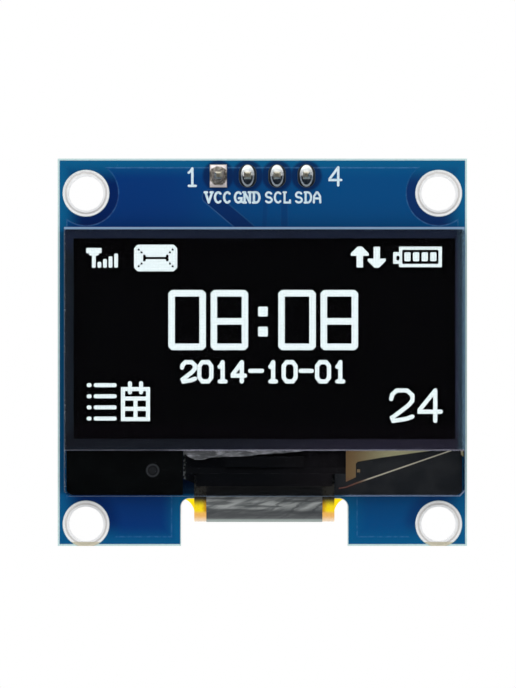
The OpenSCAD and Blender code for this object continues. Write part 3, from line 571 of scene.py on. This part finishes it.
def filmFinish():
    # amber film: yellow where it is one layer, gold beside the coverlay, paler to the turn in painted
    # highlights, dark behind the glass with painted shadow below its edge and painted shade under it, and amber
    # on the board; a painted glow beside the neck, where nothing backs it, stands for the light that comes
    # through it
    f = Finish("amberFilm", specular=0.3, glowStrength=flex["glow"])
    grain = f.noise(3, 3)
    front = f.y.fade(-0.4, -1.2)
    side = abs(f.x - flex["middle"])
    belowGlass = f.z - panel["low"]
    aboveTurn = f.z - flex["turn"]
    aboveNotch = f.z - board["notchTop"]
    tone = f.blend(grain * 0.1, flex["yellow"], paint(210, 150, 20))
    tone = f.blend(front * (side + grain * 0.3).fade(5.65, 5.15), tone, paint(205, 150, 15))
    # painted highlight: peach, then nearly white towards the turn
    tone = f.blend(aboveTurn.fade(0.22, -0.1), tone, paint(246, 186, 96))
    tone = f.blend(aboveTurn.fade(-0.2, -0.75), tone, paint(255, 226, 190))
    # painted shadow below the glass's lower edge, and painted shade under the glass
    tone = f.blend(belowGlass.fade(-0.95, -0.15) * front, tone, paint(45, 42, 34))
    tone = f.blend(belowGlass.fade(-0.06, 0.06) * front, tone, paint(42, 41, 37))
    tone = f.blend((f.z - flex["blackFrom"]).fade(-0.2, 0.1) * front, tone, paint(10, 11, 13))
    onBoard = f.y.fade(-0.1, 0.05) * aboveNotch.fade(-0.05, 0.01)
    tone = f.blend(onBoard, tone, f.blend(grain, flex["amber"], flex["amberDark"]))
    # painted glow for the backdrop's light shining through the film beside the neck
    through = side.fade(flex["neckHalf"] - 0.07, flex["neckHalf"] + 0.01) * aboveNotch.fade(0.03, -0.02)
    through = through * (abs(f.y + 0.5) - 0.9).fade(0.1, 0.0)
    f.set("colour", tone)
    f.set("glow", f.blend(through, paint(0, 0, 0), flex["glowTint"]))
    f.set("roughness", grain * 0.15 + 0.2)
    return f.relief(grain * 0.008)


chips = {
    "count": 5, "bodyHalf": 0.48,
    "capacitorPitch": 4.2, "capacitorZ": -4.75, "resistorPitch": 3.3, "resistorZ": -1.95,
}


def chipFinish(name, tone, second, pitch):
    # ceramic in the middle of each chip and tinned caps at both its ends; the row's middle chip lies at x = 0
    f = Finish(name, specular=0.4)
    away = abs((f.x / pitch + 20.5).math("FRACT") - 0.5) * pitch
    cap = away.fade(chips["bodyHalf"] - 0.02, chips["bodyHalf"] + 0.02)
    grain = f.noise(7, 3)
    body = f.blend(grain.fade(0.3, 0.7), tone, second)
    f.set("colour", f.blend(cap, body, paint(212, 214, 214)))
    f.set("metallic", cap)
    f.set("roughness", cap * -0.15 + grain * 0.2 + 0.4)
    return f.relief(grain * 0.01)


def mouldedFinish(name, tone, second):
    # moulded plastic with an even fine grain
    f = Finish(name, specular=0.4)
    grain = f.noise(6.0, 4)
    f.set("colour", f.blend(grain.fade(0.3, 0.7), tone, second))
    f.set("roughness", grain * 0.25 + 0.38)
    return f.relief(grain * 0.012)


def foamFinish():
    # white foam of small closed cells
    f = Finish("whiteFoam", specular=0.15, roughness=0.9)
    cells = f.add("ShaderNodeTexVoronoi", None, {"Vector": f.point, "Scale": 6.0}, "Distance")
    f.set("colour", f.blend(cells.fade(0.1, 0.6), paint(206, 208, 204), paint(240, 240, 236)))
    return f.relief(cells * 0.05)


def emitterFinish():
    # black, a shade lighter in the strip below the last row of cells
    f = Finish("darkFilm", specular=0.02, roughness=0.6)
    strip = (f.z + f.noise(0.4, 2) * 0.4).fade(-5.2, -5.7)
    f.set("colour", f.blend(strip, paint(7, 7, 7), paint(18, 14, 18)))
    return f


def glowFinish():
    # self-lit picture cells, dimmer along the thin dark line between two cells
    f = Finish("litCells", colour=paint(4, 4, 4), roughness=0.5, specular=0.0, glowStrength=picture["glow"])
    across, up = (
        abs((side / picture["cell"] + 400).math("FRACT") - 0.5)
        for side in (f.x - picture["left"], f.z - picture["top"]))
    seam = across.most(up).fade(0.43, 0.47)
    return f.set("glow", f.blend(seam * 0.5, picture["lit"], picture["seam"]))


def polarizerFinish():
    # grey film over the picture; light passes both its faces
    f = Finish("polarizerFilm", colour=paint(12, 12, 15), specular=0.22, alpha=0.25)
    grain = f.noise(1.2, 2)
    f.set("roughness", grain * 0.04 + 0.07)
    return f.relief(grain * 0.002)


def coverFinish():
    # the rear glass, seen at its edges
    f = Finish("tintedGlass", colour=paint(70, 84, 96), specular=0.3, alpha=0.85)
    grain = f.noise(3, 3)
    f.set("roughness", grain * 0.1 + 0.1)
    return f.relief(grain * 0.002)


def sealFinish():
    # glue round the field: blue-grey at the top, paler at the right, dark at the left and below
    f = Finish("edgeGlue", specular=0.1)
    cloud = f.noise(0.5, 3)
    tone = f.blend(f.x.fade(-15, 15), paint(54, 66, 80), paint(84, 84, 116))
    tone = f.blend(f.z.fade(8.5, 10.6), tone, paint(64, 78, 112))
    lowSide = f.blend(f.x.fade(-8, 14), paint(44, 50, 62), paint(70, 66, 88))
    tone = f.blend(f.z.fade(-5.5, -7.1), tone, lowSide)
    f.set("colour", f.blend(cloud * 0.25, tone, paint(30, 36, 50)))
    f.set("roughness", cloud * 0.2 + 0.4)
    return f


maskFront = maskFinish("maskFront", frontTracks, shaded=True)
maskBack = maskFinish("maskBack", backTracks, mask["backGap"], vias)
solder = tinFinish("solder", paint(236, 238, 238), paint(196, 197, 196), 0.24)
padTin = tinFinish("padTin", paint(240, 240, 236), paint(204, 204, 200))
foam = foamFinish()
lit = glowFinish()
plainJoint = jointFinish("roundJoint", False)
squareJoint = jointFinish("squareJoint", True)
finishes = {
    "circuit_board": laminateFinish(), "front_mask": maskFront, "back_mask": maskBack,
    "hole_plating": ringFinish(), "header_land": plainJoint, "header_land_1": squareJoint,
    "solder_joint": solder,
    "header_pin": platedFinish("pinMetal", paint(228, 221, 200), paint(214, 206, 182)),
    "header_body": mouldedFinish("headerPlastic", paint(16, 16, 17), paint(34, 34, 36)),
    "polarizer": polarizerFinish(), "display_glass": glassFinish(), "cover_glass": coverFinish(),
    "edge_seal": sealFinish(), "emitter_film": emitterFinish(),
    "clock_segments": lit, "status_icons": lit, "driver_chip": ledgeFinish("silicon"),
    "panel_metal": bronzeFinish(), "flex_bond": ledgeFinish("bondFilm"), "chip_shield": shieldFinish(),
    "left_shield_tape": tapeFinish("blackTape", paint(2, 4, 5), paint(6, 9, 10), (-9.46, -9.64, 0.5)),
    "right_shield_tape": tapeFinish("greyTape", paint(27, 30, 34), paint(38, 40, 43)),
    "edge_sealant": sealantFinish(), "upper_foam_tape": foam, "lower_foam_tape": foam,
    "flex_film": filmFinish(), "flex_coverlay": coverlayFinish(),
    "flex_contacts": platedFinish("contactTin", paint(236, 226, 200), paint(222, 212, 184)),
    "board_contacts": padTin, "contact_solder": solder, "chip_lands": padTin, "chip_solder": solder,
    "regulator_body": mouldedFinish("mouldedBlack", paint(20, 20, 22), paint(40, 40, 42)),
    "regulator_lead": platedFinish("leadMetal", paint(230, 230, 228), paint(212, 212, 210), 0.34),
    "capacitor": chipFinish("tanCeramic", paint(160, 126, 94), paint(184, 150, 114), chips["capacitorPitch"]),
    "resistor": chipFinish("blackCeramic", paint(22, 22, 24), paint(40, 40, 42), chips["resistorPitch"]),
}


def family(name):
    # the name without its trailing number
    stem, _, last = name.rpartition("_")
    return stem if last.isdigit() else name


for name, piece in cadNodes.items():
    piece.data.materials.clear()
    piece.data.materials.append(finishes.get(name, finishes.get(family(name))).material)
print("finishes on all CAD nodes")

# pen lines of each sign in a box from 0 to 1, across and up
signs = {
    "V": [[(0, 1), (0.5, 0)], [(0.5, 0), (1, 1)], [(-0.12, 1), (0.24, 1)], [(0.76, 1), (1.1, 1)]],
    "C": [arc(0.55, 0.5, 0.5, 0.5, 48, 312, 14)],
    "G": [arc(0.52, 0.5, 0.5, 0.5, 48, 318, 14), [(0.6, 0.42), (1, 0.42), (1, 0.06)]],
    "N": [[(0.1, 0), (0.1, 1)], [(0.1, 1), (0.9, 0)], [(0.9, 0), (0.9, 1)], [(-0.1, 0), (0.3, 0)],
          [(-0.08, 1), (0.2, 1)], [(0.72, 1), (1.06, 1)]],
    "D": [[(0.16, 0), (0.16, 1)], [(0, 1), *arc(0.48, 0.5, 0.5, 0.5, 90, -90, 12), (0, 0)]],
    "S": [arc(0.5, 0.75, 0.42, 0.25, 30, 270, 9) + arc(0.5, 0.25, 0.46, 0.25, 90, -150, 9)],
    "L": [[(0.16, 1), (0.16, 0), (0.98, 0), (0.98, 0.22)], [(0, 1), (0.36, 1)]],
    "A": [[(0.02, 0), (0.06, 0.62), (0.42, 1), (0.58, 1), (0.94, 0.62), (0.98, 0)],
          [(0.06, 0.4), (0.94, 0.4)]],
    "0": [[(0.25, 0), (0, 0.2), (0, 0.8), (0.25, 1), (0.75, 1), (1, 0.8), (1, 0.2), (0.75, 0),
           (0.25, 0)]],
    "1": [[(0.08, 0.76), (0.3, 0.84), (0.55, 1)], [(0.55, 1), (0.55, 0)], [(0.1, 0), (1, 0)]],
    "2": [[(0, 0.72), (0.04, 0.86), (0.26, 1), (0.74, 1), (1, 0.84), (1, 0.66), (0.8, 0.5), (0.04, 0.1),
           (0.1, 0), (0.7, 0.06), (1, 0.14)]],
    "4": [[(0.74, 0), (0.74, 1)], [(0.74, 1), (0, 0.36), (0, 0.3), (1, 0.3)]],
    "-": [[(0, 0.55), (1, 0.55)]],
}


def write(text, x, low, wide, high, gap):
    # the pen lines of a row of signs, each wide by high, starting at x
    lines = []
    for k, sign in enumerate(text):
        left = x + k * (wide + gap)
        lines += [[(left + u * wide, low + v * high) for u, v in line] for line in signs[sign]]
    return lines


def frameLines(x, z, wide, high):
    # a rectangle round (x, z)
    u, v = wide / 2, high / 2
    return [[(x - u, z - v), (x + u, z - v), (x + u, z + v), (x - u, z + v), (x - u, z - v)]]


ink = Finish("whiteInk", specular=0.3)
inkGrain = ink.noise(6, 3)
ink.set("colour", ink.blend(inkGrain.fade(0.25, 0.6), paint(176, 208, 226), paint(214, 232, 240)))
ink.set("roughness", inkGrain * 0.2 + 0.45)
ink.relief(inkGrain * 0.01)

marks = {
    "front": -1.242, "back": -1.229, "labelLow": 13.5, "labelHigh": 0.88,
    "numberPen": 0.21, "one": (-6.42, 14.94, 0.66, 1.5, 0), "four": (5.82, 14.98, 1.0, 1.56, 0),
}
labels = [  # text, left end, width of a sign, gap between signs, pen
    ("VCC", -4.92, 0.57, 0.22, 0.2), ("GND", -2.38, 0.58, 0.2, 0.2),
    ("SCL", 0.27, 0.57, 0.21, 0.18), ("SDA", 2.86, 0.58, 0.21, 0.18),
]
for label, left, wide, gap, pen in labels:
    lines = write(label, left, marks["labelLow"], wide, marks["labelHigh"], gap)
    points, faces = penRibbons(lines, pen, marks["front"], marks["back"])
    newPiece("pinLabel" + label.title(), points, faces, ink)
lines = write("1", *marks["one"]) + write("4", *marks["four"])
points, faces = penRibbons(lines, marks["numberPen"], marks["front"], marks["back"])
newPiece("pinNumbers", points, faces, ink)

backMarks = {  # a frame is its middle, width and height
    "front": 0.029, "back": 0.042, "pen": 0.13, "capacitor": (2.9, 1.35), "resistor": (2.75, 1.3),
    "regulator": (8.0, 10.2, 3.4, 1.1), "header": (0, 15.8, 10.5, 2.75),
    "firstLead": [(6.1, 8.5), (6.1, 8.9)],
}
lines = []
for k in range(chips["count"]):
    step = k - (chips["count"] - 1) / 2
    lines += frameLines(step * chips["capacitorPitch"], chips["capacitorZ"], *backMarks["capacitor"])
    lines += frameLines(step * chips["resistorPitch"], chips["resistorZ"], *backMarks["resistor"])
lines += frameLines(*backMarks["regulator"]) + frameLines(*backMarks["header"]) + [backMarks["firstLead"]]
points, faces = penRibbons(lines, backMarks["pen"], backMarks["front"], backMarks["back"])
newPiece("backOutlines", points, faces, ink)
print("board marks printed")


def litPiece(name, lines, pen):
    # pen lines given in picture cells, to the right and down from the upper left corner
    size = picture["cell"]
    places = [[(picture["left"] + c * size, picture["top"] - r * size) for c, r in line] for line in lines]
    points, faces = penRibbons(places, pen * size, picture["front"], picture["back"])
    newPiece(name, points, faces, lit)


def writeCells(text, column, row, wide, high, gap=0.0):
    # signs in picture cells, with row as their upper edge
    upward = write(text, column, row, wide, high, gap)
    return [[(c, 2 * row + high - r) for c, r in line] for line in upward]


pen = picture["pen"]
dateSigns = [  # sign, first column, width
    ("2", 33.7, 6.1), ("0", 39.9, 5.8), ("1", 47.0, 3.8), ("4", 51.9, 5.9), ("-", 58.2, 5.7),
    ("1", 65.2, 3.7), ("0", 70.2, 5.8), ("-", 76.3, 5.5), ("0", 82.2, 5.8), ("1", 89.3, 3.8),
]
lines = []
for sign, column, wide in dateSigns:
    row, high = picture["dateRow"] + pen / 2, picture["dateHigh"] - pen
    lines += writeCells(sign, column + pen / 2, row, wide - pen, high)
litPiece("dateLine", lines, pen)

listRows = (50.4, 54.4, 58.4, 62.4)
listIcon = [[(3.4, row), (10.2, row)] for row in listRows] + [[(0.9, row), (1.2, row)] for row in listRows]
gridIcon = [
    [(13.2, 51.8), (22.2, 51.8), (22.2, 62.6), (13.2, 62.6), (13.2, 51.8)], [(13.2, 55.2), (22.2, 55.2)],
    [(15.7, 49.7), (15.7, 53)], [(19.7, 49.7), (19.7, 53)], [(17.7, 55.2), (17.7, 62.6)],
    [(13.2, 58.9), (22.2, 58.9)],
]
litPiece("cornerIcons", listIcon + gridIcon, picture["iconPen"])
litPiece("cornerNumber", writeCells("24", *picture["number"]), pen)
print("picture lit")


def solderSkin(x, square, sides=72, rings=28):
    # superoval rings: the first hugs the pad, and each next one draws in and rises along a hollow quarter round
    # to a collar round the pin; the square pad's rings lose their corners as they rise
    s = np.linspace(0, 1, rings)[:, None]
    a = np.linspace(0, 2 * math.pi, sides, endpoint=False)[None]
    wide = joint["halfWide"] * (1 - s) + joint["collar"] * s
    high = joint["halfHigh"] * (1 - s) + joint["collar"] * s
    power = 2 / (2.2 + (7.0 if square else 0.6) * (1 - s) ** 2)
    u = wide * np.sign(np.cos(a)) * np.abs(np.cos(a)) ** power
    v = high * np.sign(np.sin(a)) * np.abs(np.sin(a)) ** power
    lip = joint["lip"] * np.minimum(1, s * 12)
    swell = 0.05 * s * np.sin(math.pi * s) * np.sin(3 * a + x)
    rise = lip + joint["height"] * (1 - np.sqrt(1 - (0.985 * s) ** 2)) + swell
    skin = np.stack([x + u, joint["base"] - rise, joint["row"] + v], -1).reshape(-1, 3)
    foot = [x, joint["base"], joint["row"]]
    crown = [x, joint["base"] - rise[-1].mean(), joint["row"]]
    # the foot and the crown are closed with fans
    ring = np.arange(sides)
    last = (rings - 1) * sides
    faces = gridFaces(rings, sides).tolist()
    faces += [[rings * sides, (k + 1) % sides, k] for k in ring]
    faces += [[rings * sides + 1, last + k, last + (k + 1) % sides] for k in ring]
    return np.vstack([skin, foot, crown]), faces


for k in range(joint["count"]):
    points, faces = solderSkin((k - (joint["count"] - 1) / 2) * joint["pitch"], k == 0)
    finish = plainJoint if k else squareJoint
    piece = newPiece("solderJoint" + str(k + 1), points, faces, finish, True)
    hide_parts("solder_joint_" + str(k + 1))
print("pins soldered")


bead = {
    "left": -6.83, "length": 10.4, "top": -7.93, "depth": 0.8, "shallow": 0.5, "shallowFrom": -3.35,
    "leastDepth": 0.004, "front": -2.19, "thick": 0.24,
}


def beadSkin(along=160, around=24):
    # an oval section, flat towards the glass, is carried along the ledge; its depth swells fast and dies out
    # slowly, with two slow waves on its lower edge
    t = np.linspace(0, 1, along)[:, None]
    a = np.linspace(0, 2 * math.pi, around, endpoint=False)[None]
    x = bead["left"] + bead["length"] * t
    waves = 1 + 0.1 * np.sin(16 * t) + 0.05 * np.sin(47 * t)
    depth = bead["depth"] * np.minimum(1, t / 0.1) ** 0.6 * (1 - t) ** 0.8 * waves
    deepEnd = 1 / (1 + np.exp((x - bead["shallowFrom"]) / 0.18))
    most = bead["shallow"] + (bead["depth"] - bead["shallow"]) * deepEnd
    depth = np.minimum(depth, most) + bead["leastDepth"]
    thick = bead["thick"] * (depth / bead["depth"]) ** 0.6
    z = bead["top"] - depth / 2 * (1 - np.cos(a))
    y = bead["front"] + thick * np.maximum(np.sin(a), 0)
    skin = np.stack([x + 0 * a, y, z], -1).reshape(-1, 3)
    ring = np.arange(around)
    faces = gridFaces(along, around)[:, ::-1].tolist()
    faces += [ring.tolist(), (ring + (along - 1) * around)[::-1].tolist()]
    return skin, faces


points, faces = beadSkin()
piece = newPiece("sealantBead", points, faces, finishes["edge_sealant"], True)
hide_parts("edge_sealant")
print("sealant laid")

room = {
    "floor": -41.0, "floorHalf": 2000, "fadeFrom": 40, "fadeTo": 130, "world": 0.93,
    "cardY": -620, "cardTop": 210, "cardHalf": 330, "clothY": -30, "clothLift": 0.5,
    "lamp": 1.2, "lampSize": 500, "lampPlace": (-250, -350, 550), "lampTilt": (33, 0, -35),
}


def flatSheet(name, corners, material):
    # one stage quad, with its corners in millimetres
    mesh = bpy.data.meshes.new(name)
    mesh.from_pydata([tuple(mm * c for c in corner) for corner in corners], [], [(0, 1, 2, 3)])
    mesh.materials.append(material)
    sheet = bpy.data.objects.new(name, mesh)
    bpy.context.scene.collection.objects.link(sheet)
    return sheet


def seenDirectly(tree):
    # 1 for rays from the camera, a gloss or a clear piece
    rays = tree.add("ShaderNodeLightPath")
    outputs = rays.socket.node.outputs
    seen = Signal(tree, outputs["Is Camera Ray"]).most(Signal(tree, outputs["Is Glossy Ray"]))
    return seen.most(Signal(tree, outputs["Is Transmission Ray"]))


floorLook = Finish("paleFloor", colour=paint(238, 238, 238), roughness=0.7, specular=0.2)
white = floorLook.add("ShaderNodeEmission", None, {"Color": (1, 1, 1, 1), "Strength": 1.0})
distance = floorLook.vector("LENGTH", floorLook.point, output="Value")
away = distance.fade(room["fadeFrom"], room["fadeTo"]) * seenDirectly(floorLook)
plain = Signal(floorLook, floorLook.shader.outputs[0])
both = floorLook.add("ShaderNodeMixShader", None, {0: away, 1: plain, 2: white})
floorLook.feed(floorLook.tree.nodes["Material Output"].inputs["Surface"], both)
half, low = room["floorHalf"], room["floor"]
flatSheet("floor", [(-half, -half, low), (half, -half, low), (half, half, low), (-half, half, low)],
          floorLook.material)

# a dark card and a dark cloth in front, which only gloss sees
cardLook = Finish("darkCard", colour=paint(4, 4, 4), roughness=1.0, specular=0.0)
half, y, low = room["cardHalf"], room["cardY"], room["floor"] + room["clothLift"]
for name, farY, farZ in (("darkCard", y, room["cardTop"]), ("darkCloth", room["clothY"], low)):
    corners = [(-half, y, low), (half, y, low), (half, farY, farZ), (-half, farY, farZ)]
    card = flatSheet(name, corners, cardLook.material)
    card.visible_camera = card.visible_diffuse = card.visible_shadow = card.visible_transmission = False

world = bpy.data.worlds.new("softWhite")
world.use_nodes = True
bpy.context.scene.world = world
sky = NodeTree(world.node_tree)
background = world.node_tree.nodes["Background"].inputs
sky.feed(background["Color"], (1, 1, 1, 1))
sky.feed(background["Strength"], seenDirectly(sky) * (1 - room["world"]) + room["world"])

lamp = bpy.data.lights.new("softLamp", "AREA")
lamp.shape = "DISK"
lamp.size = room["lampSize"] * mm
lamp.energy = room["lamp"]
lampObject = bpy.data.objects.new("softLamp", lamp)
lampObject.location = [c * mm for c in room["lampPlace"]]
lampObject.rotation_euler = [math.radians(c) for c in room["lampTilt"]]
bpy.context.scene.collection.objects.link(lampObject)

view = {"x": -0.377, "z": 1.264, "distance": 350, "boardFront": -1.2, "tall": 59.5, "sensor": 36}
camera = bpy.data.cameras.new("camera")
camera.sensor_width = view["sensor"]
camera.lens = view["sensor"] * view["distance"] / view["tall"]
camera.clip_start, camera.clip_end = 0.01, 20
cameraObject = bpy.data.objects.new("camera", camera)
place = (view["x"], view["boardFront"] - view["distance"], view["z"])
cameraObject.location = [c * mm for c in place]
cameraObject.rotation_euler = (math.pi / 2, 0, 0)
bpy.context.scene.collection.objects.link(cameraObject)
bpy.context.scene.camera = cameraObject
bpy.context.scene.view_settings.view_transform = "Standard"
print("room, light and camera set")
